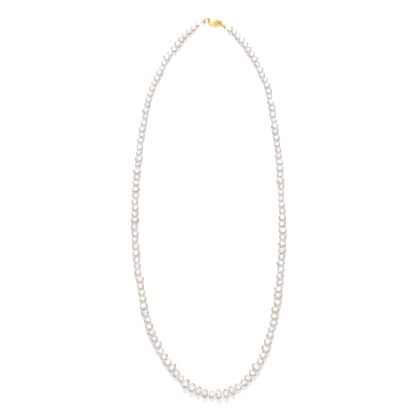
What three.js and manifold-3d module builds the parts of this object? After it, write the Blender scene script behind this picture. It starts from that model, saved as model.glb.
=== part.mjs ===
// A pearl necklace laid flat in a long loop: freshwater pearls on knotted silk, closed by a gold
// lobster clasp. Millimetres, +Z up, resting on z = 0. +Y points from the front of the necklace to its
// clasp, and the origin is under the middle of the loop.
//
// Each mesh that turns on a neighbour has userData.hinge: a point on its axis and the axis's direction,
// both in the mesh's own frame. The strand bends at the knots between its runs, about upright axes.

import * as THREE from "three";
import { mergeVertices } from "three/addons/utils/BufferGeometryUtils.js";
import Module from "manifold-3d";

const vector = (x, y, z = 0) => new THREE.Vector3(x, y, z);
const UP = vector(0, 0, 1);

// ---- Driving dimensions ----

const RUNS = 33; // lengths of strand that bend at the knots between them
const PEARLS_PER_RUN = 4;
const PEARL_COUNT = RUNS * PEARLS_PER_RUN;
const BACK_PITCH = 3.9; // pearl to pearl next to the clasp
const FRONT_PITCH = 4.86; // pearl to pearl at the front
const PITCH_SPREAD = 0.08; // how much one pearl's pitch differs from its neighbours'
const KNOT_GAP = 0.85; // between two pearls, filled by the knot
const GIRTH = 1.14; // a pearl's width over its pitch
const GIRTH_SPREAD = 0.16;
const FLATTENING = 0.94; // a pearl's height over its width
const TURN_SPREAD = 0.12; // how far a pearl is turned off the strand's line, in radians
const SIDE_SPREAD = 0.35; // how far a pearl sits off the strand's line
const PEARL_SIDES = 8;
const THREAD_RADIUS = 0.3;
const TAIL_RADIUS = 0.15; // the thread's tail, at the end of a run that reaches across the knot gap
const TAIL_REACH = 0.55;
const KNOT_HEIGHT = 2.3; // the strand's knots over the surface
// a pearl's skin, as shares of its half length and half width
const BARREL = [[-0.72, 0.73], [0, 1], [0.72, 0.73]];

const GUARD_TUBE = 0.375; // radius of the coiled wire guard
const GUARD_HALF_WIDTH = 1.15; // from the guard's middle to its tube's centre
const END_KNOT_RADIUS = 0.4;
const END_KNOT_SPACE = 0.1; // from an end knot to the pearl behind it and to the guard before it

const TUBE_SIDES = 8;
const GUARD_STEPS = 16;
const RING_STEPS = 24;
const BAR_STEPS = 14;
const EYE_STEPS = 20;
const BALL_RINGS = 6;
const PIN_SIDES = 12;
const THROUGH = 2; // half the depth of a cut that goes right through the clasp
const SPRING_HALF_WIDTH = 0.4;
const LEFT_END = { at: vector(-6.15, 129.22, 2.1), heading: 13.6, length: 3.12, roll: 40 };
const LEFT_RING = {
  middle: vector(-1.32, 130.77, 1.82),
  normal: vector(-0.09, 0.52, 0.85),
  radius: 2.0,
  wire: 0.32,
  pulls: [vector(-2.26, 130.16, 2.1), vector(-0.23, 130.73, 1.96)], // of the guard and of the hook
};
const RIGHT_END = { at: vector(13.4, 126.02, 2.1), heading: 159.3, length: 2.34, roll: 0 };
const RIGHT_RING = {
  middle: vector(9.4, 127.85, 2.74),
  normal: vector(0.65, 0.73, 0.22),
  radius: 2.4,
  wire: 0.34,
  pulls: [vector(8.74, 128.75, 1.76), vector(10.39, 127.16, 2.1)], // of the eye and of the guard
};

const CLASP_AT = vector(4.4, 130.1, 2.0);
const CLASP_YAW = -9; // degrees about +Z
const CLASP_ROLL = 20; // degrees about its own length
// the hook's middle line from its tip to the cheeks: x, y, half its width, half its depth
const HOOK_STOPS = [
  [-2.8, 2.0, 0.28, 0.4], [-3.9, 1.62, 0.36, 0.45], [-4.6, 0.45, 0.36, 0.42], [-4.55, -0.8, 0.4, 0.5],
  [-3.5, -1.75, 0.52, 0.7], [-1.8, -2.15, 0.62, 0.85], [0, -2.1, 0.7, 0.95],
];
const CHEEK_HALF_THICKNESS = 1.0;
const SLOT_HALF_WIDTH = 0.6;
const LEVER_HALF_THICKNESS = 0.45;
const PIVOT = [1.2, 0.3]; // the lever's pin, in the clasp's own plane
const PIN_RADIUS = 0.3;
const PIN_CLEARANCE = 0.08;
const BOSS_RADIUS = 0.78;
const EYE_AT = [3.35, -0.2];
const EYE_RADIUS = 1.25; // to the centre of the eye's rim
const EYE_RIM = 0.5;
const EYE_EASE = 0.02; // by which the cheeks stay clear of the eye's hole
const HOOK_PULL = [-4.67, -0.11]; // where the left ring pulls on the hook
const EYE_PULL = [4.5, -0.7]; // where the right ring pulls on the eye

// The strand's middle line, from its left end by the clasp, round the front, to its right end.
const ROUTE = [
  [-6.6, 129.1], [-13.0, 123.8], [-18.5, 117.7], [-23.8, 111.7], [-28.3, 105.8], [-33.9, 94.9],
  [-39.2, 83.7], [-43.0, 71.1], [-45.8, 57.1], [-48.4, 39.7], [-50.4, 18.2], [-51.6, -3.9],
  [-50.9, -29.7], [-49.3, -43.7], [-46.9, -59.1], [-43.4, -75.9], [-38.5, -89.9],
  [-32.5, -101.8], [-25.5, -112.6], [-16.4, -122.4], [-5.9, -128.7], [4.5, -130.8], [15.0, -128.7],
  [24.1, -122.8], [31.8, -114.4], [38.1, -103.2], [43.0, -89.2], [46.5, -73.1], [49.2, -57.7],
  [51.1, -32.0], [51.5, -8.0], [50.4, 16.5], [49.3, 33.3], [47.6, 48.7], [44.8, 66.9],
  [41.3, 83.7], [36.0, 97.0], [29.4, 107.9], [22.5, 117.6], [13.8, 125.8],
];
const ROUTE_SAMPLES = 2000;

// ---- Materials ----

function finish(color, roughness, metalness) {
  return new THREE.MeshStandardMaterial({ color, roughness, metalness });
}

const pearlMaterial = finish(0xf0ebe8, 0.3, 0);
const silkMaterial = finish(0xf4f1ec, 0.9, 0);
const goldMaterial = finish(0xe0ac48, 0.2, 1);
const gimpMaterial = finish(0xdca23c, 0.35, 1);
const springMaterial = finish(0xb8b8b4, 0.35, 0.9);

// ---- Solids: joining, cutting and skinning ----

const wasm = await Module();
wasm.setup();

/** A three.js geometry as a manifold solid. */
function solid(geometry) {
  const bare = geometry.clone();
  bare.deleteAttribute("normal");
  bare.deleteAttribute("uv");
  const merged = mergeVertices(bare, 1e-4);
  return new wasm.Manifold(new wasm.Mesh({
    numProp: 3,
    vertProperties: new Float32Array(merged.attributes.position.array),
    triVerts: new Uint32Array(merged.index.array),
  }));
}

/** A manifold solid as a three.js geometry. */
function geometryOf(manifold) {
  const mesh = manifold.getMesh();
  const geometry = new THREE.BufferGeometry();
  geometry.setAttribute("position", new THREE.BufferAttribute(new Float32Array(mesh.vertProperties), 3));
  geometry.setIndex(new THREE.BufferAttribute(new Uint32Array(mesh.triVerts), 1));
  geometry.computeVertexNormals();
  return geometry;
}

/** A closed solid over rings of as many points each, closed at each end by a fan. */
function skin(rings) {
  const sides = rings[0].length;
  const middle = (ring) => ring.reduce((sum, p) => sum.add(p), new THREE.Vector3()).divideScalar(sides);
  const points = [...rings.flat(), middle(rings[0]), middle(rings.at(-1))];
  const [first, last] = [points.length - 2, points.length - 1];
  const end = (rings.length - 1) * sides;
  const index = [];
  for (let side = 0; side < sides; side++) {
    const next = (side + 1) % sides;
    index.push(first, next, side, last, end + side, end + next);
    for (let base = 0; base < end; base += sides) {
      index.push(base + side, base + next, base + sides + next);
      index.push(base + side, base + sides + next, base + sides + side);
    }
  }
  const geometry = new THREE.BufferGeometry().setFromPoints(points);
  geometry.setIndex(index);
  geometry.computeVertexNormals();
  return geometry;
}

/** An elliptical ring of points round `at`, `across` and `up` being its two half-axes as vectors. */
function ellipse(at, across, up, sides) {
  return Array.from({ length: sides }, (_, k) => {
    const turn = (2 * Math.PI * k) / sides;
    return at.clone().addScaledVector(across, Math.cos(turn)).addScaledVector(up, Math.sin(turn));
  });
}

function circleShape(radius, sides) {
  return new THREE.Shape(Array.from({ length: sides }, (_, k) => {
    const turn = (2 * Math.PI * k) / sides;
    return new THREE.Vector2(radius * Math.cos(turn), radius * Math.sin(turn));
  }));
}

function part(name, geometry, material) {
  const mesh = new THREE.Mesh(geometry, material);
  mesh.name = name;
  return mesh;
}

// ---- The strand ----

/** A repeatable number from -1 to 1 for a pearl and a purpose. */
function scatter(pearl, purpose) {
  const wave = Math.sin(pearl * 12.9898 + purpose * 78.233) * 43758.5453;
  return 2 * (wave - Math.floor(wave)) - 1;
}

/** The route as points a short way apart, with the distance run at each. */
function sampledRoute() {
  const curve = new THREE.CatmullRomCurve3(ROUTE.map(([x, y]) => vector(x, y)));
  const points = curve.getPoints(ROUTE_SAMPLES);
  const run = [0];
  for (let i = 1; i < points.length; i++) run.push(run[i - 1] + points[i].distanceTo(points[i - 1]));
  return { points, run };
}

const route = sampledRoute();

/** The point of the route at a distance from its start. */
function along(distance) {
  const found = route.run.findIndex((run) => run > distance);
  const next = found < 0 ? route.run.length - 1 : found;
  const [before, after] = [route.run[next - 1], route.run[next]];
  const share = (distance - before) / (after - before);
  return route.points[next - 1].clone().lerp(route.points[next], share);
}

/** Every pearl's place and size, fitted end to end along the route. */
function layPearls() {
  const pitches = Array.from({ length: PEARL_COUNT }, (_, i) => {
    const toFront = Math.sin((Math.PI * (i + 0.5)) / PEARL_COUNT) ** 2;
    const graded = BACK_PITCH + (FRONT_PITCH - BACK_PITCH) * toFront;
    return graded * (1 + PITCH_SPREAD * scatter(i, 1));
  });
  const stretch = route.run.at(-1) / pitches.reduce((sum, pitch) => sum + pitch, 0);
  let start = 0;
  return pitches.map((pitch, i) => {
    const end = start + pitch * stretch;
    const [from, to] = [along(start), along(end)];
    const heading = to.clone().sub(from).normalize().applyAxisAngle(UP, TURN_SPREAD * scatter(i, 2));
    const side = UP.clone().cross(heading);
    const length = end - start - KNOT_GAP;
    const width = pitch * (GIRTH + GIRTH_SPREAD * scatter(i, 3));
    const height = width * FLATTENING;
    const at = from.clone().add(to).divideScalar(2).addScaledVector(side, SIDE_SPREAD * scatter(i, 4));
    at.z = height / 2;
    start = end;
    return { at, heading, side, length, width, height, from, to };
  });
}

const pearls = layPearls();
const FRONT_RUN = (RUNS - 1) / 2; // the run at the middle of the front, which the others hang from

/** The rings round one pearl, from its first end to its second. */
function pearlRings({ at, heading, side, length, width, height }) {
  return BARREL.map(([share, girth]) =>
    ellipse(
      at.clone().addScaledVector(heading, (share * length) / 2),
      side.clone().multiplyScalar((girth * width) / 2),
      UP.clone().multiplyScalar((girth * height) / 2),
      PEARL_SIDES,
    ));
}

/** A ring of thread, `reach` past a pearl's drill hole, after the pearl (end 1) or before it (end -1). */
function threadRing({ at, heading, side, length }, end, reach, radius) {
  const middle = at.clone().addScaledVector(heading, end * (length / 2 + reach));
  const across = side.clone().multiplyScalar(radius);
  return ellipse(middle, across, UP.clone().multiplyScalar(radius), PEARL_SIDES);
}

/** One run of pearls on its thread, as one solid with its origin at the knot that it bends at. */
function pearlRun(run) {
  const mine = pearls.slice(run * PEARLS_PER_RUN, (run + 1) * PEARLS_PER_RUN);
  const [first, last] = [mine[0], mine.at(-1)];
  const bendsBefore = run > FRONT_RUN;
  const bendsAfter = run < FRONT_RUN;
  const rings = [threadRing(first, -1, bendsBefore || run === 0 ? 0 : TAIL_REACH, TAIL_RADIUS)];
  for (const pearl of mine) {
    rings.push(...pearlRings(pearl));
    if (pearl !== last) rings.push(threadRing(pearl, 1, KNOT_GAP / 2, THREAD_RADIUS));
  }
  rings.push(threadRing(last, 1, bendsAfter || run === RUNS - 1 ? 0 : TAIL_REACH, TAIL_RADIUS));
  const hinge = bendsAfter ? last.to.clone() : first.from.clone();
  hinge.z = KNOT_HEIGHT;
  const mesh = part(`pearl_run_${String(run + 1).padStart(2, "0")}`, skin(rings), pearlMaterial);
  mesh.geometry.translate(-hinge.x, -hinge.y, -hinge.z);
  mesh.position.copy(hinge);
  if (run !== FRONT_RUN) mesh.userData.hinge = { at: vector(0, 0), axis: UP };
  return mesh;
}

// ---- The strand's ends ----

/** A wire guard's loop along +X in the XY plane, with its two legs meeting at the origin. */
function guardLoop(length) {
  const bendStart = length - GUARD_HALF_WIDTH;
  const leg = (sign) => [0, 1 / 3, 2 / 3].map((share) =>
    vector(share * bendStart, sign * GUARD_HALF_WIDTH * Math.sin((share * Math.PI) / 2)));
  const bend = [-90, -45, 0, 45, 90].map((degrees) => {
    const turn = THREE.MathUtils.degToRad(degrees);
    return vector(bendStart + GUARD_HALF_WIDTH * Math.cos(turn), GUARD_HALF_WIDTH * Math.sin(turn));
  });
  const path = new THREE.CatmullRomCurve3([...leg(-1), ...bend, ...leg(1).reverse()]);
  const tube = new THREE.ExtrudeGeometry(circleShape(GUARD_TUBE, TUBE_SIDES), {
    steps: GUARD_STEPS, extrudePath: path, bevelEnabled: false,
  });
  const joint = new THREE.SphereGeometry(GUARD_TUBE, TUBE_SIDES, BALL_RINGS);
  return geometryOf(solid(tube).add(solid(joint)));
}

/** One end of the strand: its last knot and its wire guard, which turn together about the knot. */
function strandEnd(side, { at, heading, length, roll }) {
  const group = new THREE.Group();
  const ball = new THREE.SphereGeometry(END_KNOT_RADIUS, TUBE_SIDES, BALL_RINGS);
  const knot = part(`${side}_end_knot`, ball, silkMaterial);
  const guard = part(`${side}_wire_guard`, guardLoop(length), gimpMaterial);
  guard.position.x = END_KNOT_RADIUS + END_KNOT_SPACE + GUARD_TUBE;
  guard.rotation.x = THREE.MathUtils.degToRad(roll);
  group.add(knot, guard);
  group.position.copy(at);
  group.rotation.z = THREE.MathUtils.degToRad(heading);
  knot.userData.hinge = { at: vector(0, 0), axis: UP };
  return group;
}

// ---- The jump rings ----

/** A jump ring. Its origin is one of the two places where other loops pull on it, and it rolls about
 * the line between them. */
function jumpRing(name, { middle, normal, radius, wire, pulls }) {
  const torus = new THREE.TorusGeometry(radius, wire, TUBE_SIDES, RING_STEPS);
  const ring = part(name, torus, goldMaterial);
  const facing = new THREE.Quaternion().setFromUnitVectors(UP, normal.clone().normalize());
  ring.geometry.applyQuaternion(facing).translate(...middle.clone().sub(pulls[0]));
  ring.position.copy(pulls[0]);
  ring.userData.hinge = { at: vector(0, 0), axis: pulls[1].clone().sub(pulls[0]).normalize() };
  return ring;
}

// ---- The lobster clasp, in its own plane: hook to -X, eye to +X, gate to +Y ----

/** A bar along a curve in the clasp's plane. Each stop is its middle, half its width, half its depth. */
function bar(stops) {
  const path = new THREE.CatmullRomCurve3(stops.map(([x, y]) => vector(x, y)));
  const sizes = new THREE.CatmullRomCurve3(stops.map(([, , width, depth]) => vector(width, depth)));
  const rings = Array.from({ length: BAR_STEPS + 1 }, (_, k) => {
    const share = k / BAR_STEPS;
    const tangent = path.getTangent(share);
    const size = sizes.getPoint(share);
    return ellipse(path.getPoint(share), vector(-tangent.y, tangent.x).multiplyScalar(size.x),
      UP.clone().multiplyScalar(size.y), TUBE_SIDES);
  });
  return solid(skin(rings));
}

/** A plate in the clasp's plane, as thick both ways as `half`. */
function plate(shape, half) {
  return solid(new THREE.ExtrudeGeometry(shape, { depth: 2 * half, bevelEnabled: false })
    .translate(0, 0, -half));
}

function disc([x, y], radius, half, sides = 16) {
  return solid(new THREE.CylinderGeometry(radius, radius, 2 * half, sides)
    .rotateX(Math.PI / 2).translate(x, y, 0));
}

/** Both cheeks and the web behind them, before the slot is cut. */
function cheekShape() {
  const outline = new THREE.Shape();
  outline.moveTo(-0.5, -2.6);
  outline.lineTo(0.9, -2.6);
  outline.quadraticCurveTo(2.3, -2.4, 2.8, -1.5);
  outline.lineTo(2.5, -0.6);
  outline.lineTo(2.5, 0.3);
  outline.lineTo(2.8, 1.0);
  outline.quadraticCurveTo(2.2, 1.5, 1.2, 1.5);
  outline.quadraticCurveTo(0.2, 1.4, 0.1, 0.3);
  outline.quadraticCurveTo(0.0, -0.9, -0.5, -1.5);
  outline.closePath();
  return outline;
}

/** The slot between the cheeks, open towards the gate, with room behind the boss for the spring. */
function slotShape() {
  const outline = new THREE.Shape();
  outline.moveTo(-0.6, -1.0);
  outline.lineTo(2.2, -1.0);
  outline.lineTo(2.2, 3.0);
  outline.lineTo(-0.6, 3.0);
  outline.closePath();
  return outline;
}

function clawBody() {
  const hook = bar(HOOK_STOPS);
  const rim = new THREE.TorusGeometry(EYE_RADIUS, EYE_RIM, TUBE_SIDES, EYE_STEPS);
  const eye = solid(rim.translate(...EYE_AT, 0));
  const eyeHole = disc(EYE_AT, EYE_RADIUS - EYE_RIM + EYE_EASE, THROUGH);
  const slot = plate(slotShape(), SLOT_HALF_WIDTH);
  const pinHole = disc(PIVOT, PIN_RADIUS + PIN_CLEARANCE, THROUGH, PIN_SIDES);
  const cheeks = plate(cheekShape(), CHEEK_HALF_THICKNESS).subtract(eyeHole);
  return geometryOf(hook.add(cheeks).add(eye).subtract(slot).subtract(pinHole));
}

/** The lever's outline: the gate, the boss on the pin and the thumb tab. */
function leverShape() {
  const [x, y] = PIVOT;
  const outline = new THREE.Shape();
  outline.absarc(x, y, BOSS_RADIUS, -Math.PI * 0.75, Math.PI * 0.2, false);
  outline.lineTo(x + 0.75, y + 1.6);
  outline.absarc(x + 0.35, y + 1.95, 0.4, 0, Math.PI, false);
  outline.quadraticCurveTo(x - 0.3, y + 1.4, x - 0.8, y + 1.45);
  outline.quadraticCurveTo(-1.2, 2.15, -2.9, 1.35);
  outline.absarc(-2.95, 1.1, 0.26, Math.PI * 0.5, Math.PI * 1.4, false);
  outline.quadraticCurveTo(-1.2, 1.15, x - 0.95, y + 0.1);
  outline.closePath();
  return outline;
}

function triggerLever() {
  const hole = disc(PIVOT, PIN_RADIUS + 2 * PIN_CLEARANCE, THROUGH, PIN_SIDES);
  return geometryOf(plate(leverShape(), LEVER_HALF_THICKNESS).subtract(hole)
    .translate([-PIVOT[0], -PIVOT[1], 0]));
}

/** A bent leaf spring that lies behind the boss, against the slot's back wall. */
function leafSpring() {
  const bend = new THREE.Shape();
  bend.moveTo(1.2, -0.92);
  bend.lineTo(2.12, -0.92);
  bend.lineTo(2.12, 0.9);
  bend.lineTo(2.04, 0.9);
  bend.lineTo(2.04, -0.6);
  bend.lineTo(1.2, -0.78);
  bend.closePath();
  return geometryOf(plate(bend, SPRING_HALF_WIDTH));
}

function clasp() {
  const group = new THREE.Group();
  const body = part("claw_body", clawBody(), goldMaterial);
  const lever = part("trigger_lever", triggerLever(), goldMaterial);
  lever.position.set(...PIVOT, 0);
  lever.userData.hinge = { at: vector(0, 0), axis: UP };
  const [hookEnd, eyeEnd] = [vector(...HOOK_PULL), vector(...EYE_PULL)];
  body.userData.hinge = { at: hookEnd, axis: eyeEnd.clone().sub(hookEnd).normalize() };
  const pinShape = geometryOf(disc(PIVOT, PIN_RADIUS, CHEEK_HALF_THICKNESS, PIN_SIDES));
  const pin = part("lever_pin", pinShape, goldMaterial);
  const spring = part("lever_spring", leafSpring(), springMaterial);
  group.add(body, lever, pin, spring);
  group.position.copy(CLASP_AT);
  group.rotation.set(THREE.MathUtils.degToRad(CLASP_ROLL), 0, THREE.MathUtils.degToRad(CLASP_YAW), "ZYX");
  return group;
}

// ---- The whole necklace ----

const necklace = new THREE.Group();
for (let run = 0; run < RUNS; run++) necklace.add(pearlRun(run));
necklace.add(
  strandEnd("left", LEFT_END),
  jumpRing("left_jump_ring", LEFT_RING),
  clasp(),
  jumpRing("right_jump_ring", RIGHT_RING),
  strandEnd("right", RIGHT_END),
);

export default necklace;
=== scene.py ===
"""The looks of a pearl necklace lying in a long loop: drilled freshwater pearls on knotted silk, coiled
wire guards, two jump rings and a lobster clasp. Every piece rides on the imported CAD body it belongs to."""

import math

import bmesh
import bpy
import numpy as np
from mathutils import Matrix, Vector


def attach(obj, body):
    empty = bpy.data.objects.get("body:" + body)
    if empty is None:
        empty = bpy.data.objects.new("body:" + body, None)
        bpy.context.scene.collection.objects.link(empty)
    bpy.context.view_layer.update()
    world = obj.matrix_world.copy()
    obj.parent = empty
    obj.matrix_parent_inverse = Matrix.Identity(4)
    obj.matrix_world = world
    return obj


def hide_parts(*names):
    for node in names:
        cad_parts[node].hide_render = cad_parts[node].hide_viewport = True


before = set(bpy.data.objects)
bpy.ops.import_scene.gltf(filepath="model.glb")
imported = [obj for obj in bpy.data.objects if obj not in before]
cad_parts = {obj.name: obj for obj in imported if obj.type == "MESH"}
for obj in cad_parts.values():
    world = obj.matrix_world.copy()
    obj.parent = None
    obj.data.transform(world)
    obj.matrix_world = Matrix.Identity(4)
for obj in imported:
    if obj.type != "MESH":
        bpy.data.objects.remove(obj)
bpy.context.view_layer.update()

MM = 0.001  # the dimensions below are in millimetres, as in the CAD, and become metres here

# ---- Dimensions shared with the CAD ----

RUNS = 33
PEARLS_PER_RUN = 4
PEARL_COUNT = RUNS * PEARLS_PER_RUN
FRONT_RUN = (RUNS - 1) // 2
BACK_PITCH = 3.9
FRONT_PITCH = 4.86
PITCH_SPREAD = 0.08
KNOT_GAP = 0.85
GIRTH = 1.14
GIRTH_SPREAD = 0.16
FLATTENING = 0.94
TURN_SPREAD = 0.12
SIDE_SPREAD = 0.35

GUARD_TUBE = 0.375
GUARD_HALF_WIDTH = 1.15
END_KNOT_RADIUS = 0.4
END_KNOT_SPACE = 0.1
STRAND_ENDS = {
    "left": {"at": (-6.15, 129.22, 2.1), "heading": 13.6, "length": 3.12, "roll": 40},
    "right": {"at": (13.4, 126.02, 2.1), "heading": 159.3, "length": 2.34, "roll": 0},
}
JUMP_RINGS = {
    "left": {"middle": (-1.32, 130.77, 1.82), "normal": (-0.09, 0.52, 0.85), "radius": 2.0, "wire": 0.32},
    "right": {"middle": (9.4, 127.85, 2.74), "normal": (0.65, 0.73, 0.22), "radius": 2.4, "wire": 0.34},
}

CLASP_AT = (4.4, 130.1, 2.0)
CLASP_YAW = -9
CLASP_ROLL = 20
HOOK_STOPS = [
    (-2.8, 2.0, 0.28, 0.4), (-3.9, 1.62, 0.36, 0.45), (-4.6, 0.45, 0.36, 0.42), (-4.55, -0.8, 0.4, 0.5),
    (-3.5, -1.75, 0.52, 0.7), (-1.8, -2.15, 0.62, 0.85), (0, -2.1, 0.7, 0.95),
]
CHEEK_HALF_THICKNESS = 1.0
SLOT_HALF_WIDTH = 0.6
LEVER_HALF_THICKNESS = 0.45
PIVOT = (1.2, 0.3)
PIN_RADIUS = 0.3
PIN_CLEARANCE = 0.08
BOSS_RADIUS = 0.78
EYE_AT = (3.35, -0.2)
EYE_RADIUS = 1.25
EYE_RIM = 0.5
SPRING_HALF_WIDTH = 0.4

# The strand's middle line, from its left end by the clasp, round the front, to its right end.
ROUTE = np.array([
    (-6.6, 129.1), (-13.0, 123.8), (-18.5, 117.7), (-23.8, 111.7), (-28.3, 105.8), (-33.9, 94.9),
    (-39.2, 83.7), (-43.0, 71.1), (-45.8, 57.1), (-48.4, 39.7), (-50.4, 18.2), (-51.6, -3.9),
    (-50.9, -29.7), (-49.3, -43.7), (-46.9, -59.1), (-43.4, -75.9), (-38.5, -89.9),
    (-32.5, -101.8), (-25.5, -112.6), (-16.4, -122.4), (-5.9, -128.7), (4.5, -130.8), (15.0, -128.7),
    (24.1, -122.8), (31.8, -114.4), (38.1, -103.2), (43.0, -89.2), (46.5, -73.1), (49.2, -57.7),
    (51.1, -32.0), (51.5, -8.0), (50.4, 16.5), (49.3, 33.3), (47.6, 48.7), (44.8, 66.9),
    (41.3, 83.7), (36.0, 97.0), (29.4, 107.9), (22.5, 117.6), (13.8, 125.8),
])
ROUTE_SAMPLES = 2000

# ---- Camera ----

PHOTO_WIDTH = 0.2912  # what the picture's width covers on the floor, in metres
CAMERA_AT = (-0.00035, -0.00028, 1.5)
SENSOR = 36
camera_data = bpy.data.cameras.new("camera")
camera_data.sensor_width = SENSOR
camera_data.lens = SENSOR * CAMERA_AT[2] / PHOTO_WIDTH
camera = bpy.data.objects.new("camera", camera_data)
camera.location = CAMERA_AT
bpy.context.scene.collection.objects.link(camera)
bpy.context.scene.camera = camera
bpy.context.scene.view_settings.view_transform = "Standard"

# ---- Curves and meshes ----


def spline(points, count):
    """Points along a centripetal Catmull-Rom curve, as many for each stretch: the CAD's own curve."""
    points = np.asarray(points, float)
    ends = (2 * points[0] - points[1], 2 * points[-1] - points[-2])
    held = np.vstack([ends[0], points, ends[1]])
    steps = np.linalg.norm(np.diff(held, axis=0), axis=1) ** 0.5
    place = np.linspace(0, len(points) - 1, count)
    stretch = np.minimum(place.astype(int), len(points) - 2)
    t = (place - stretch)[:, None]
    p0, p1, p2, p3 = (held[stretch + k] for k in range(4))
    d0, d1, d2 = (steps[stretch + k][:, None] for k in range(3))
    leave = ((p1 - p0) / d0 - (p2 - p0) / (d0 + d1) + (p2 - p1) / d1) * d1
    arrive = ((p2 - p1) / d1 - (p3 - p1) / (d1 + d2) + (p3 - p2) / d2) * d1
    return (p1 + leave * t + (-3 * p1 + 3 * p2 - 2 * leave - arrive) * t ** 2
            + (2 * p1 - 2 * p2 + leave + arrive) * t ** 3)


def unit(v):
    return v / np.linalg.norm(v, axis=-1, keepdims=True)


def frames(path, closed=False):
    """Two directions across a path at each point, turning as little as they can along it."""
    if closed:
        tangent = unit(np.roll(path, -1, 0) - np.roll(path, 1, 0))
    else:
        tangent = unit(np.gradient(path, axis=0))
    first = np.cross(tangent[0], (0, 0, 1) if abs(tangent[0][2]) < 0.9 else (1, 0, 0))
    across = [unit(first)]
    for t in tangent[1:]:
        across.append(unit(across[-1] - t * np.dot(across[-1], t)))
    across = np.array(across)
    if closed:  # spread the turn that is left over, so that the ends meet
        last = unit(across[-1] - tangent[0] * np.dot(across[-1], tangent[0]))
        over = np.cross(tangent[0], across[0])
        left = -math.atan2(np.dot(last, over), np.dot(last, across[0]))
        turn = np.linspace(0, left, len(path))[:, None]
        across = across * np.cos(turn) + np.cross(tangent, across) * np.sin(turn)
    return across, np.cross(tangent, across)


def loft(rings, closed=False):
    """Vertices and faces over rings of points. An open loft is closed by a face at each end."""
    rings = np.asarray(rings, float)
    count, sides = rings.shape[:2]
    faces = []
    for ring in range(count if closed else count - 1):
        here, there = ring * sides, (ring + 1) % count * sides
        for side in range(sides):
            after = (side + 1) % sides
            faces.append((here + side, here + after, there + after, there + side))
    if not closed:
        faces.append(tuple(range(sides))[::-1])
        faces.append(tuple(range((count - 1) * sides, count * sides)))
    return rings.reshape(-1, 3), faces


def tube(path, radius, sides=8, closed=False):
    """A round tube along a path."""
    path = np.asarray(path, float)
    across, over = frames(path, closed)
    turn = np.linspace(0, 2 * np.pi, sides, endpoint=False)
    spokes = across[:, None] * np.cos(turn)[None, :, None] + over[:, None] * np.sin(turn)[None, :, None]
    return loft(path[:, None] + spokes * radius, closed)


def joined(parts):
    """Several (vertices, faces) as one."""
    vertices, faces, start = [], [], 0
    for points, polygons in parts:
        vertices.append(points)
        faces += [tuple(i + start for i in polygon) for polygon in polygons]
        start += len(points)
    return np.vstack(vertices), faces


def piece(name, shape, material, matrix=None):
    """A mesh object from vertices in millimetres, smooth and facing outwards."""
    vertices, faces = shape
    mesh = bpy.data.meshes.new(name)
    mesh.from_pydata((np.asarray(vertices) * MM).tolist(), [], faces)
    tidy = bmesh.new()
    tidy.from_mesh(mesh)
    bmesh.ops.recalc_face_normals(tidy, faces=tidy.faces)
    tidy.to_mesh(mesh)
    tidy.free()
    mesh.polygons.foreach_set("use_smooth", [True] * len(mesh.polygons))
    mesh.materials.append(material)
    if matrix is not None:
        mesh.transform(matrix)
    made = bpy.data.objects.new(name, mesh)
    bpy.context.scene.collection.objects.link(made)
    return made


def stands(made, body, slot, *nodes):
    """Puts a finished piece on its body and in place of its CAD nodes."""
    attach(made, body)
    if nodes:
        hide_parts(*nodes)


# ---- Materials ----

NOISE_LOW, NOISE_HIGH = 0.3, 0.7  # most of a noise texture's values lie between these


class Nodes:
    """A Principled material and short ways to add nodes to it."""

    def __init__(self, name, **settings):
        self.material = bpy.data.materials.new(name)
        self.material.use_nodes = True
        self.tree = self.material.node_tree
        self.shader = self.tree.nodes["Principled BSDF"]
        for socket, value in settings.items():
            self.shader.inputs[socket.replace("_", " ")].default_value = value

    def add(self, kind, **settings):
        node = self.tree.nodes.new(kind)
        for key, value in settings.items():
            setattr(node, key, value)
        return node

    def link(self, out, into):
        self.tree.links.new(out, into)

    def noise(self, scale, detail=2.0, roughness=0.5):
        """Noise in the piece's own coordinates, with features about 1 / scale metres across."""
        coordinates = self.add("ShaderNodeTexCoord")
        made = self.add("ShaderNodeTexNoise")
        made.inputs["Scale"].default_value = scale
        made.inputs["Detail"].default_value = detail
        made.inputs["Roughness"].default_value = roughness
        self.link(coordinates.outputs["Object"], made.inputs["Vector"])
        return made.outputs["Fac"]

    def ramp(self, value, *stops):
        """Colours at positions along a value, as (position, (r, g, b))."""
        made = self.add("ShaderNodeValToRGB")
        elements = made.color_ramp.elements
        while len(elements) < len(stops):
            elements.new(0.5)
        for element, (position, color) in zip(elements, stops):
            element.position = position
            element.color = (*color, 1)
        self.link(value, made.inputs["Fac"])
        return made.outputs["Color"]

    def span(self, noise, low, high):
        """A noise, stretched to run from low to high."""
        made = self.add("ShaderNodeMapRange")
        made.inputs["From Min"].default_value = NOISE_LOW
        made.inputs["From Max"].default_value = NOISE_HIGH
        made.inputs["To Min"].default_value = low
        made.inputs["To Max"].default_value = high
        self.link(noise, made.inputs["Value"])
        return made.outputs["Result"]

    def multiply(self, first, second):
        made = self.add("ShaderNodeMix", data_type="RGBA", blend_type="MULTIPLY")
        made.inputs["Factor"].default_value = 1
        self.link(first, made.inputs["A"])
        self.link(second, made.inputs["B"])
        return made.outputs["Result"]

    def bump(self, height, strength, distance):
        made = self.add("ShaderNodeBump")
        made.inputs["Strength"].default_value = strength
        made.inputs["Distance"].default_value = distance
        self.link(height, made.inputs["Height"])
        self.link(made.outputs["Normal"], self.shader.inputs["Normal"])


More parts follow.
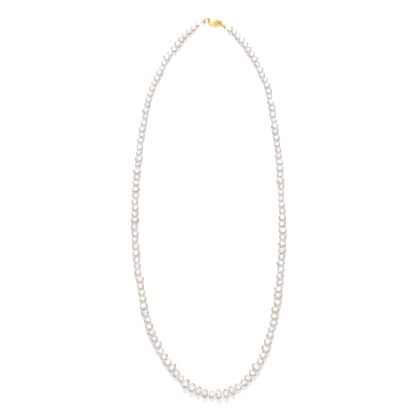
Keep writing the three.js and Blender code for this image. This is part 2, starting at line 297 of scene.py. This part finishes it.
def nacre():
    """Pearl: each pearl's own tint with painted shade on its flanks, in its grooves and inside its drill
    holes; cloudy layers and a soft gloss. The coat's tint warms the rims.
    """
    made = Nodes("nacre", Subsurface_Weight=0.35, Subsurface_Radius=(1, 1, 1), Subsurface_Scale=0.0012,
                 Specular_IOR_Level=0.6, Coat_Weight=1.0, Coat_Roughness=0.1, Coat_IOR=1.02,
                 Coat_Tint=(0.89, 0.865, 0.845, 1))
    # the attribute holds each pearl's tint with painted shade on its flanks, in its grooves and inside its
    # drill holes
    tint = made.add("ShaderNodeAttribute", attribute_name="nacre").outputs["Color"]
    cloud = made.ramp(made.noise(480, 2), (0.34, (0.72, 0.71, 0.71)), (0.6, (0.98, 0.98, 0.98)))
    made.link(made.multiply(tint, cloud), made.shader.inputs["Base Color"])
    made.link(made.span(made.noise(900, 2), 0.1, 0.24), made.shader.inputs["Roughness"])
    made.bump(made.noise(1400, 3), 0.25, 0.00004)
    return made.material


def silk():
    """White silk thread, matt with a soft sheen."""
    made = Nodes("silk", Roughness=0.75, Sheen_Weight=0.4, Sheen_Roughness=0.4)
    dark, light = (0.93, 0.92, 0.91), (0.98, 0.98, 0.98)
    color = made.ramp(made.noise(2500, 2), (NOISE_LOW, dark), (NOISE_HIGH, light))
    made.link(color, made.shader.inputs["Base Color"])
    made.bump(made.noise(6000, 2), 0.5, 0.00005)
    return made.material


def gold(name, dark, light, smooth, rough):
    """Polished plated metal, a little uneven in colour and gloss."""
    made = Nodes(name, Metallic=1.0)
    color = made.ramp(made.noise(260, 3), (NOISE_LOW, dark), (NOISE_HIGH, light))
    made.link(color, made.shader.inputs["Base Color"])
    made.link(made.span(made.noise(1100, 4, 0.65), smooth, rough), made.shader.inputs["Roughness"])
    made.bump(made.noise(700, 3), 0.12, 0.00005)
    return made.material


def steel():
    """Plain spring strip, a little uneven from rolling."""
    made = Nodes("spring_steel", Metallic=0.95)
    dark, light = (0.42, 0.42, 0.41), (0.62, 0.62, 0.6)
    color = made.ramp(made.noise(600, 2), (NOISE_LOW, dark), (NOISE_HIGH, light))
    made.link(color, made.shader.inputs["Base Color"])
    made.link(made.span(made.noise(1500, 3), 0.25, 0.42), made.shader.inputs["Roughness"])
    return made.material


NACRE = nacre()
SILK = silk()
GOLD = gold("gold", (0.73, 0.45, 0.1), (0.83, 0.57, 0.18), 0.3, 0.42)
RING_GOLD = gold("ring_gold", (0.64, 0.37, 0.07), (0.76, 0.48, 0.13), 0.3, 0.42)
# the lever in paler, creamy gold: a painted highlight standing in for the bright reflection on the gate
GATE_GOLD_PAINTED_HIGHLIGHT = gold("gate_gold_painted_highlight", (0.9, 0.8, 0.52), (0.96, 0.88, 0.64), 0.3, 0.42)
GIMP = gold("gold_gimp", (0.78, 0.5, 0.14), (0.9, 0.66, 0.3), 0.22, 0.36)
STEEL = steel()

# ---- The strand's line and its pearls, laid out as in the CAD ----


def scatter(pearl, purpose):
    """A repeatable number from -1 to 1 for a pearl and a purpose. Purposes 1 to 4 are the CAD's."""
    wave = math.sin(pearl * 12.9898 + purpose * 78.233) * 43758.5453
    return 2 * (wave - math.floor(wave)) - 1


def lay_pearls():
    """Every pearl's place and size, fitted end to end along the route."""
    points = spline(ROUTE, ROUTE_SAMPLES + 1)
    run = np.concatenate([[0], np.cumsum(np.linalg.norm(np.diff(points, axis=0), axis=1))])

    def along(distance):
        return np.array([np.interp(distance, run, points[:, 0]), np.interp(distance, run, points[:, 1]), 0])

    pitches = []
    for i in range(PEARL_COUNT):
        to_front = math.sin(math.pi * (i + 0.5) / PEARL_COUNT) ** 2
        graded = BACK_PITCH + (FRONT_PITCH - BACK_PITCH) * to_front
        pitches.append(graded * (1 + PITCH_SPREAD * scatter(i, 1)))
    stretch = run[-1] / sum(pitches)
    start, laid = 0, []
    for i, pitch in enumerate(pitches):
        end = start + pitch * stretch
        begin, finish = along(start), along(end)
        ahead = unit(finish - begin)
        turn = TURN_SPREAD * scatter(i, 2)
        heading = np.array([ahead[0] * math.cos(turn) - ahead[1] * math.sin(turn),
                            ahead[0] * math.sin(turn) + ahead[1] * math.cos(turn), 0])
        side = np.cross((0, 0, 1), heading)
        width = pitch * (GIRTH + GIRTH_SPREAD * scatter(i, 3))
        height = width * FLATTENING
        at = (begin + finish) / 2 + side * SIDE_SPREAD * scatter(i, 4)
        at[2] = height / 2
        laid.append({"at": at, "heading": heading, "side": side, "length": end - start - KNOT_GAP,
                     "width": width, "height": height})
        start = end
    return laid


PEARLS = lay_pearls()

# ---- Pearls ----

PEARL_SIDES = 28
PEARL_RINGS = 20
HOLE_RADIUS = 0.3
HOLE_START = 0.8  # where the skin's first ring stands, as a share of the way out to the hole's edge
HOLE_LIP = 0.12  # how far the drill hole's edge is rounded in
PLUMPNESS = 0.86  # under 1, the ends are blunter than an ellipsoid's
EGG = 0.1  # how much fuller one end of a pearl can be
LUMPS = 6
LUMP_HEIGHT = 0.06  # of the broadest lump, as a share of the pearl's radius
LUMP_FADING = 0.35  # how much lower each next one is
LUMP_WAVES = 2.2  # how tightly the broadest lump curves
LUMP_TIGHTENING = 0.9  # how much tighter each next one does
GROOVES = 2
GROOVE_SPREAD = 0.55  # how far from the pearl's middle a groove can be, as a share of half its length
GROOVE_DEPTH = 0.035  # of the deepest, as a share of the pearl's radius
GROOVE_WIDTH = 0.11
GROOVE_PAINTED_SHADE = 2.2  # painted shade in a groove: how much it darkens the nacre, over the groove's depth
HOLE_PAINTED_SHADE = 0.7  # painted shade on the nacre inside the drill hole
FLANK_PAINTED_SHADE = np.array((0.52, 0.42, 0.34))  # painted shade on the flanks across the strand, standing in for the darker rims seen from above
WHITE_NACRE = np.array((0.97, 0.97, 0.98))
TINTED_NACRES = np.array([(0.96, 0.91, 0.93), (0.97, 0.95, 0.89), (0.9, 0.92, 0.98)])
TINT_RARITY = 1.5  # over 1, most pearls stay nearly white


def lumps(i, direction):
    """How much a pearl's skin stands proud at a direction from its middle, as a share of its radius."""
    proud = np.zeros(direction.shape[:-1])
    for k in range(LUMPS):
        tightness = LUMP_WAVES + LUMP_TIGHTENING * k
        wave = np.array([scatter(i, 10 + 5 * k + axis) for axis in range(3)]) * tightness
        phase = math.pi * scatter(i, 13 + 5 * k)
        proud += LUMP_HEIGHT / (1 + LUMP_FADING * k) * np.sin(direction @ wave + phase)
    return proud


def grooves(i, share):
    """The rings that many freshwater pearls have round their drill line."""
    depth = GROOVE_DEPTH * max(0, scatter(i, 50))
    proud = np.zeros_like(share)
    for k in range(GROOVES):
        middle = GROOVE_SPREAD * scatter(i, 51 + k)
        proud -= depth * np.exp(-(((share - middle) / GROOVE_WIDTH) ** 2))
    return proud


def pearl_shape(i):
    """A drilled pearl and its colours, as rings out over the skin and back through the drill hole."""
    pearl = PEARLS[i]
    first = math.asin(HOLE_RADIUS / (pearl["width"] / 2)) * HOLE_START
    polar = np.linspace(first, math.pi - first, PEARL_RINGS)
    turn = np.linspace(0, 2 * np.pi, PEARL_SIDES, endpoint=False)
    share = -np.sign(np.cos(polar)) * np.abs(np.cos(polar)) ** PLUMPNESS
    girth = np.sin(polar) ** PLUMPNESS
    egg = 1 + EGG * scatter(i, 5) * share
    direction = np.stack(np.broadcast_arrays(
        share[:, None], (girth * egg)[:, None] * np.cos(turn), (girth * egg)[:, None] * np.sin(turn)), -1)
    proud = 1 + lumps(i, unit(direction)) + grooves(i, share)[:, None]
    # across the strand the lumps keep the mean width; upwards none is past the CAD's height
    axial = direction[..., 0] * pearl["length"] / 2
    across = direction[..., 1] * pearl["width"] / 2 * proud / proud.mean()
    up = direction[..., 2] * pearl["height"] / 2 * proud / proud.max()
    skin = np.stack([axial, across, up], -1)
    hole = np.stack([np.zeros(PEARL_SIDES), HOLE_RADIUS * np.cos(turn), HOLE_RADIUS * np.sin(turn)], -1)
    inset = np.array([HOLE_LIP - abs(skin[0, 0, 0]), 0, 0])
    rings = np.concatenate([[hole + inset], skin, [hole - inset]])
    basis = np.array([pearl["heading"], pearl["side"], (0, 0, 1)])
    points = pearl["at"] + rings @ basis
    points[..., 2] = np.maximum(points[..., 2], 0)
    # painted shade: the sides across the strand, which are the rims seen from above, darken towards the
    # flanks' brown
    flank_shade = np.outer(girth ** 3, np.cos(turn) ** 2)[..., None]
    color = (1 - flank_shade) + flank_shade * FLANK_PAINTED_SHADE
    # painted shade in the grooves, darker where they are deeper
    color = color * pearl_tint(i) * (1 + GROOVE_PAINTED_SHADE * grooves(i, share))[:, None, None]
    # painted shade inside the drill holes
    hole_painted_shade = np.full((1, PEARL_SIDES, 3), HOLE_PAINTED_SHADE)
    return loft(points, closed=True), np.concatenate([hole_painted_shade, color, hole_painted_shade]).reshape(-1, 3)


def pearl_tint(i):
    """Mostly white, with some pearls towards pink, cream or lavender."""
    lean = abs(scatter(i, 6)) ** TINT_RARITY
    other = TINTED_NACRES[int(len(TINTED_NACRES) * (scatter(i, 7) + 1) / 2)]
    return WHITE_NACRE * (1 - lean) + other * lean


for number in range(PEARL_COUNT):
    outline, skin_colors = pearl_shape(number)
    made = piece(f"pearl_{number + 1:03d}", outline, NACRE)
    colors = np.c_[skin_colors, np.ones(len(skin_colors))]
    made.data.attributes.new("nacre", "FLOAT_COLOR", "POINT").data.foreach_set("color", colors.ravel())
    home = f"{number // PEARLS_PER_RUN + 1:02d}"
    stands(made, f"run_{home}", "pearl", f"pearl_run_{home}")

# ---- Silk thread and knots ----

THREAD_RADIUS = 0.21
KNOT_THREAD = 0.17
KNOT_RADIUS = 0.66  # to the middle of its thread
KNOT_DEPTH = 0.45  # how far its thread weaves to and fro, as a share of a third of its radius
KNOT_STEPS = 54
KNOT_SIDES = 6
SAME_POINT = 0.01  # points closer than this are one point


def trefoil(at, heading, radius, thickness):
    """A tight trefoil of thread, flat across the strand's line."""
    t = np.linspace(0, 2 * np.pi, KNOT_STEPS, endpoint=False)
    weave = -np.sin(3 * t) * KNOT_DEPTH
    flat = np.stack([weave, np.sin(t) + 2 * np.sin(2 * t), np.cos(t) - 2 * np.cos(2 * t)], -1)
    side = np.cross((0, 0, 1), heading)
    basis = np.array([heading, side, (0, 0, 1)])
    return tube(at + (flat * radius / 3) @ basis, thickness, KNOT_SIDES, closed=True)


def drill_end(i, end):
    """Where a pearl's drill hole comes out: end is -1 before the pearl and 1 after it."""
    pearl = PEARLS[i]
    return pearl["at"] + pearl["heading"] * end * pearl["length"] / 2


def gap_middle(i):
    """The middle of the gap before pearl i. The strand's two ends stop at their last pearl."""
    if i == 0:
        return drill_end(0, -1)
    if i == PEARL_COUNT:
        return drill_end(PEARL_COUNT - 1, 1)
    return (drill_end(i - 1, 1) + drill_end(i, -1)) / 2


for run in range(RUNS):
    mine = range(run * PEARLS_PER_RUN, (run + 1) * PEARLS_PER_RUN)
    line = [gap_middle(mine[0])]
    for i in mine:
        line += [drill_end(i, -1), drill_end(i, 1), gap_middle(i + 1)]
    line = [p for k, p in enumerate(line) if k == 0 or np.linalg.norm(p - line[k - 1]) > SAME_POINT]
    knotted = list(mine[1:])
    if run < FRONT_RUN:
        knotted.append(mine[-1] + 1)
    if run > FRONT_RUN:
        knotted.append(mine[0])
    parts = [tube(line, THREAD_RADIUS)]
    for i in knotted:
        heading = unit(PEARLS[i - 1]["heading"] + PEARLS[i]["heading"])
        parts.append(trefoil(gap_middle(i), heading, KNOT_RADIUS, KNOT_THREAD))
    made = piece(f"silk_run_{run + 1:02d}", joined(parts), SILK)
    stands(made, f"run_{run + 1:02d}", "silk")

# ---- The strand's ends: last knot and coiled wire guard ----

END_KNOT_COIL = 0.72 * END_KNOT_RADIUS  # to the middle of its thread
END_KNOT_THREAD = 0.15
TAIL_THREAD = 0.2
TAIL_TO_PEARL = 0.62
TAIL_TO_GUARD = 0.9
GIMP_WIRE = 0.085
GIMP_PITCH = 0.19
GIMP_EASE = 0.02  # how far the winding stays inside the CAD tube, as the rings turn very close to it
GIMP_STEPS = 12  # points to a turn
GIMP_SIDES = 6
GUARD_STEPS = 200
CORE_RADIUS = GUARD_TUBE - 1.6 * GIMP_WIRE  # the thread that the winding is full of
CORE_STEPS = 60


def guard_path(length):
    """The guard loop's middle line, as in the CAD."""
    bend_start = length - GUARD_HALF_WIDTH

    def leg(sign):
        return [(share * bend_start, sign * GUARD_HALF_WIDTH * math.sin(share * math.pi / 2), 0)
                for share in (0, 1 / 3, 2 / 3)]

    crown = [(bend_start + GUARD_HALF_WIDTH * math.cos(turn), GUARD_HALF_WIDTH * math.sin(turn), 0)
             for turn in np.radians([-90, -45, 0, 45, 90])]
    return leg(-1) + crown + leg(1)[::-1]


def even(path, count):
    """A path as points the same distance apart, and its length."""
    run = np.concatenate([[0], np.cumsum(np.linalg.norm(np.diff(path, axis=0), axis=1))])
    at = np.linspace(0, run[-1], count)
    return np.stack([np.interp(at, run, path[:, k]) for k in range(3)], -1), run[-1]


def coil(path):
    """Fine wire wound closely along a path."""
    _, length = even(path, GUARD_STEPS)
    turns = length / GIMP_PITCH
    line, _ = even(path, int(turns * GIMP_STEPS))
    across, over = frames(line)
    wind = np.linspace(0, 2 * np.pi * turns, len(line))[:, None]
    reach = GUARD_TUBE - GIMP_WIRE - GIMP_EASE
    return tube(line + reach * (across * np.cos(wind) + over * np.sin(wind)), GIMP_WIRE, GIMP_SIDES)


def placed(at, *turns):
    """A matrix to the row frame: turns are (degrees, axis), the outermost first. at is in millimetres."""
    matrix = Matrix.Translation(Vector(at) * MM)
    for degrees, axis in turns:
        matrix = matrix @ Matrix.Rotation(math.radians(degrees), 4, axis)
    return matrix


for side, end in STRAND_ENDS.items():
    upright = placed(end["at"], (end["heading"], "Z"))
    knot = joined([
        trefoil(np.zeros(3), np.array((1.0, 0.0, 0.0)), END_KNOT_COIL, END_KNOT_THREAD),
        tube([(-TAIL_TO_PEARL, 0, 0), (0, 0, 0), (TAIL_TO_GUARD, 0, 0)], TAIL_THREAD),
    ])
    made = piece(f"{side}_last_knot", knot, SILK, upright)
    stands(made, f"{side}_end", "silk", f"{side}_end_knot")
    to_guard = Matrix.Translation(((END_KNOT_RADIUS + END_KNOT_SPACE + GUARD_TUBE) * MM, 0, 0))
    lying = upright @ to_guard @ Matrix.Rotation(math.radians(end["roll"]), 4, "X")
    path = spline(guard_path(end["length"]), GUARD_STEPS)
    core = tube(even(path, CORE_STEPS)[0], CORE_RADIUS)
    made = piece(f"{side}_gimp", joined([coil(path), core]), GIMP, lying)
    stands(made, f"{side}_end", "gold_gimp", f"{side}_wire_guard")

# ---- Jump rings ----

RING_CUT = 1.2  # half the cut in the ring, in degrees
RING_CUT_AT = 60
RING_STEPS = 97
RING_SIDES = 16

for side, ring in JUMP_RINGS.items():
    turn = np.radians(np.linspace(RING_CUT, 360 - RING_CUT, RING_STEPS) + RING_CUT_AT)
    path = np.stack([np.cos(turn), np.sin(turn), 0 * turn], -1) * ring["radius"]
    facing = Vector(ring["normal"]).normalized().rotation_difference(Vector((0, 0, 1))).inverted()
    matrix = Matrix.Translation(Vector(ring["middle"]) * MM) @ facing.to_matrix().to_4x4()
    made = piece(f"{side}_ring", tube(path, ring["wire"], RING_SIDES), RING_GOLD, matrix)
    stands(made, f"{side}_ring", "gold", f"{side}_jump_ring")

# ---- The lobster clasp ----

CLASP = placed(CLASP_AT, (CLASP_YAW, "Z"), (CLASP_ROLL, "X"))
CLAW_VOXEL = 0.06
LEVER_VOXEL = 0.045
CLAW_SOFTENING = 8
LEVER_SOFTENING = 3
CUT_EASE = 0.02  # the casting is softened after its cuts, which narrows them
CUT_THROUGH = 2  # half the depth of a cut right through
DISC_SIDES = 48
EYE_STEPS = 72
EYE_SIDES = 20
PIN_SIDES = 32
ARC_STEPS = 12
BEND_STEPS = 10
BAR_STEPS = 60
BAR_SIDES = 20


def circle(at, radius, sides):
    """Points round a circle in the clasp's plane."""
    turn = np.linspace(0, 2 * np.pi, sides, endpoint=False)
    return np.c_[at[0] + radius * np.cos(turn), at[1] + radius * np.sin(turn)]


def plate(outline, half):
    """A flat plate in the clasp's plane from an outline, as thick both ways as half."""
    flat = np.asarray(outline, float)
    return loft([np.c_[flat, np.full(len(flat), z)] for z in (-half, half)])


def bore(at, radius):
    """What a round hole right through the clasp takes away."""
    return plate(circle(at, radius, DISC_SIDES), CUT_THROUGH)


def arc(at, radius, start, end):
    """Points round part of a circle, with start and end in half turns."""
    turn = np.linspace(start, end, ARC_STEPS) * math.pi
    return [(at[0] + radius * math.cos(t), at[1] + radius * math.sin(t)) for t in turn]


def bend(start, pull, end):
    """A quadratic curve from start to end, without its first point."""
    start, pull, end = map(np.array, (start, pull, end))
    shares = np.linspace(0, 1, BEND_STEPS + 1)[1:]
    return [tuple((1 - t) ** 2 * start + 2 * t * (1 - t) * pull + t ** 2 * end) for t in shares]


def bar(stops):
    """A bar along a curve in the clasp's plane, from stops of x, y, half width and half depth."""
    stops = np.array(stops, float)
    zeros = np.zeros((len(stops), 1))
    path = spline(np.c_[stops[:, :2], zeros], BAR_STEPS)
    size = spline(np.c_[stops[:, 2:], zeros], BAR_STEPS)
    tangent = unit(np.gradient(path, axis=0))
    across = np.stack([-tangent[:, 1], tangent[:, 0], 0 * tangent[:, 0]], -1)
    turn = np.linspace(0, 2 * np.pi, BAR_SIDES, endpoint=False)
    rings = (path[:, None] + across[:, None] * size[:, None, :1] * np.cos(turn)[None, :, None]
             + np.array((0, 0, 1)) * size[:, None, 1:2] * np.sin(turn)[None, :, None])
    return loft(rings)


def cast(name, shape, cuts, voxel, softening, material):
    """One cast piece: its parts melted together, cut, and softened at every edge."""
    made = piece(name, shape, material)

    def settle(kind, **settings):
        modifier = made.modifiers.new("step", kind)
        for key, value in settings.items():
            setattr(modifier, key, value)
        graph = bpy.context.evaluated_depsgraph_get()
        mesh = bpy.data.meshes.new_from_object(made.evaluated_get(graph))
        made.modifiers.clear()
        old, made.data = made.data, mesh
        bpy.data.meshes.remove(old)

    settle("REMESH", mode="VOXEL", voxel_size=voxel * MM, adaptivity=0.0)
    for cut in cuts:
        tool = piece("cut", cut, material)
        settle("BOOLEAN", operation="DIFFERENCE", solver="EXACT", object=tool)
        bpy.data.objects.remove(tool)
    settle("REMESH", mode="VOXEL", voxel_size=voxel * MM, adaptivity=0.0)
    settle("SMOOTH", factor=0.5, iterations=softening)
    made.data.polygons.foreach_set("use_smooth", [True] * len(made.data.polygons))
    made.name = name
    return made


def cheek_outline():
    """The cheeks and the web behind them, as in the CAD."""
    return [(-0.5, -2.6), (0.9, -2.6), *bend((0.9, -2.6), (2.3, -2.4), (2.8, -1.5)), (2.5, -0.6), (2.5, 0.3),
            (2.8, 1.0), *bend((2.8, 1.0), (2.2, 1.5), (1.2, 1.5)), *bend((1.2, 1.5), (0.2, 1.4), (0.1, 0.3)),
            *bend((0.1, 0.3), (0.0, -0.9), (-0.5, -1.5))]


def lever_outline():
    """The gate, the boss on the pin and the thumb tab, as in the CAD."""
    x, y = PIVOT
    tab = arc((x + 0.35, y + 1.95), 0.4, 0, 1)
    gate_tip = arc((-2.95, 1.1), 0.26, 0.5, 1.4)
    return [*arc((x, y), BOSS_RADIUS, -0.75, 0.2), (x + 0.75, y + 1.6), *tab,
            *bend(tab[-1], (x - 0.3, y + 1.4), (x - 0.8, y + 1.45)),
            *bend((x - 0.8, y + 1.45), (-1.2, 2.15), (-2.9, 1.35)), *gate_tip,
            *bend(gate_tip[-1], (-1.2, 1.15), (x - 0.95, y + 0.1))]


eye_line = np.c_[circle(EYE_AT, EYE_RADIUS, EYE_STEPS), np.zeros(EYE_STEPS)]
eye = tube(eye_line, EYE_RIM, EYE_SIDES, closed=True)
claw_shape = joined([bar(HOOK_STOPS), plate(cheek_outline(), CHEEK_HALF_THICKNESS), eye])
claw_cuts = [
    bore(EYE_AT, EYE_RADIUS - EYE_RIM + CUT_EASE),
    plate([(-0.6, -1.0), (2.2, -1.0), (2.2, 3.0), (-0.6, 3.0)], SLOT_HALF_WIDTH),
    bore(PIVOT, PIN_RADIUS + CUT_EASE),
]
claw = cast("claw", claw_shape, claw_cuts, CLAW_VOXEL, CLAW_SOFTENING, GOLD)
claw.data.transform(CLASP)
stands(claw, "claw", "gold", "claw_body")

lever_shape = plate(lever_outline(), LEVER_HALF_THICKNESS)
lever_cuts = [bore(PIVOT, PIN_RADIUS + 2 * PIN_CLEARANCE)]
lever = cast("lever", lever_shape, lever_cuts, LEVER_VOXEL, LEVER_SOFTENING, GATE_GOLD_PAINTED_HIGHLIGHT)
lever.data.transform(CLASP)
stands(lever, "lever", "gold", "trigger_lever")


def turned(profile):
    """A solid turned about the pin's line, from (height, radius) stops."""
    return loft([np.c_[circle(PIVOT, r, PIN_SIDES), np.full(PIN_SIDES, z)] for z, r in profile])


half = CHEEK_HALF_THICKNESS
dome = [(0.0, PIN_RADIUS), (0.02, 0.29), (0.04, 0.25), (0.055, 0.17), (0.06, 0.06)]  # height, radius
rivet = turned([(-half - z, r) for z, r in dome[::-1]] + [(half + z, r) for z, r in dome])
stands(piece("rivet", rivet, GOLD, CLASP), "claw", "gold", "lever_pin")

leaf_outline = [
    (1.2, -0.92), (2.08, -0.92), (2.12, -0.88), (2.12, 0.9), (2.04, 0.9), (2.04, -0.6), (1.98, -0.74),
    (1.2, -0.82),
]
leaf = piece("leaf_spring", plate(leaf_outline, SPRING_HALF_WIDTH), STEEL, CLASP)
stands(leaf, "claw", "spring_steel", "lever_spring")

# ---- Floor and light ----

FLOOR_REACH = 6000
corners = [(x * FLOOR_REACH, y * FLOOR_REACH, 0) for x, y in ((-1, -1), (1, -1), (1, 1), (-1, 1))]
paper = Nodes("paper", Base_Color=(0.9, 0.9, 0.9, 1), Roughness=0.9).material
piece("floor", (corners, [(0, 1, 2, 3)]), paper)


def soft_light(name, at, size, watts):
    """A round light, hidden from the camera, that faces the middle of the necklace."""
    lamp = bpy.data.lights.new(name, "AREA")
    lamp.shape = "DISK"
    lamp.size = size
    lamp.energy = watts
    made = bpy.data.objects.new(name, lamp)
    made.location = at
    made.rotation_euler = (-Vector(at)).to_track_quat("-Z", "Y").to_euler()
    made.visible_camera = False
    bpy.context.scene.collection.objects.link(made)


soft_light("key", (-0.08, 1.1, 1.05), 0.35, 13.5)
soft_light("top", (0.07, 0.1, 1.6), 0.16, 6.2)
soft_light("fill", (0.2, -1.35, 0.75), 1.0, 2)
soft_light("glint", (-0.15, -0.78, 1.31), 0.7, 0.7)

# the room: white overhead and very slightly warmer towards the horizon
world = bpy.data.worlds.new("studio")
world.use_nodes = True
room = world.node_tree
direction = room.nodes.new("ShaderNodeTexCoord")
height = room.nodes.new("ShaderNodeSeparateXYZ")
shade = room.nodes.new("ShaderNodeValToRGB")
horizon, overhead = shade.color_ramp.elements
horizon.position, overhead.position = 0.2, 0.8
horizon.color = (0.95, 0.94, 0.93, 1)
overhead.color = (1, 1, 1, 1)
room.links.new(direction.outputs["Generated"], height.inputs["Vector"])
room.links.new(height.outputs["Z"], shade.inputs["Fac"])
room.links.new(shade.outputs["Color"], room.nodes["Background"].inputs["Color"])
room.nodes["Background"].inputs["Strength"].default_value = 0.7
bpy.context.scene.world = world
